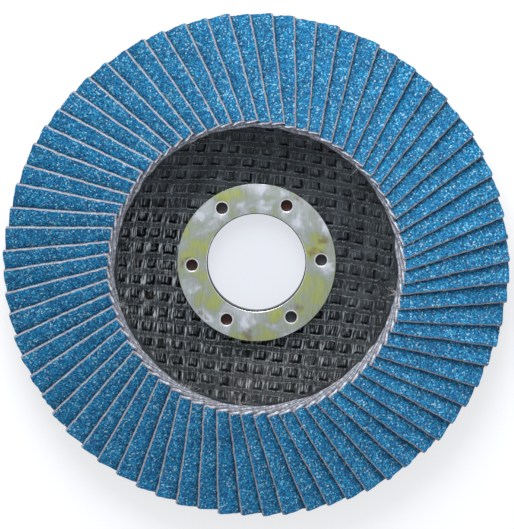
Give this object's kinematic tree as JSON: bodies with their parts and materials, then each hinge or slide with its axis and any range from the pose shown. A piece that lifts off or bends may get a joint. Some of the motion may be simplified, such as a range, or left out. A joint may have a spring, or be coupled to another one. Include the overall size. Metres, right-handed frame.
{
  "type": "flap disc",
  "caption": "Conical grinding disc of overlapping abrasive cloth flaps on a black glass fibre backing plate with a plated steel arbor ring.",
  "frame": {"origin": "on the bore axis, in the plane of the hub's back face, which the disc lies on", "axes": "+Z along the bore axis, out of the working face; +Y towards the top of the picture and +X towards its right"},
  "size_m": [0.115, 0.115, 0.0161],
  "materials": {
    "glass_fibre_plate": "black resin over coarse glass weave, satin",
    "zinc_plated_steel": "zinc plated and yellow-green passivated, finely brushed",
    "epoxy_resin": "cured brown resin",
    "abrasive_cloth": "blue resin bonded zirconia grain on pale woven cloth"
  },
  "bodies": {
    "root": {"backing_plate": "glass_fibre_plate", "arbor_ring": "zinc_plated_steel", "adhesive_bed": "epoxy_resin", "flap_pair_01": "abrasive_cloth", "flap_pair_02": "abrasive_cloth", "flap_pair_03": "abrasive_cloth", "flap_pair_04": "abrasive_cloth", "flap_pair_05": "abrasive_cloth", "flap_pair_06": "abrasive_cloth", "flap_pair_07": "abrasive_cloth", "flap_pair_08": "abrasive_cloth", "flap_pair_09": "abrasive_cloth", "flap_pair_10": "abrasive_cloth", "flap_pair_11": "abrasive_cloth", "flap_pair_12": "abrasive_cloth", "flap_pair_13": "abrasive_cloth", "flap_pair_14": "abrasive_cloth", "flap_pair_15": "abrasive_cloth", "flap_pair_16": "abrasive_cloth", "flap_pair_17": "abrasive_cloth", "flap_pair_18": "abrasive_cloth", "flap_pair_19": "abrasive_cloth", "flap_pair_20": "abrasive_cloth", "flap_pair_21": "abrasive_cloth", "flap_pair_22": "abrasive_cloth", "flap_pair_23": "abrasive_cloth", "flap_pair_24": "abrasive_cloth", "flap_pair_25": "abrasive_cloth", "flap_pair_26": "abrasive_cloth", "flap_pair_27": "abrasive_cloth", "flap_pair_28": "abrasive_cloth", "flap_pair_29": "abrasive_cloth", "flap_pair_30": "abrasive_cloth", "flap_pair_31": "abrasive_cloth", "flap_pair_32": "abrasive_cloth", "flap_pair_33": "abrasive_cloth", "flap_pair_34": "abrasive_cloth", "flap_pair_35": "abrasive_cloth", "flap_pair_36": "abrasive_cloth"}
  },
  "joints": []
}
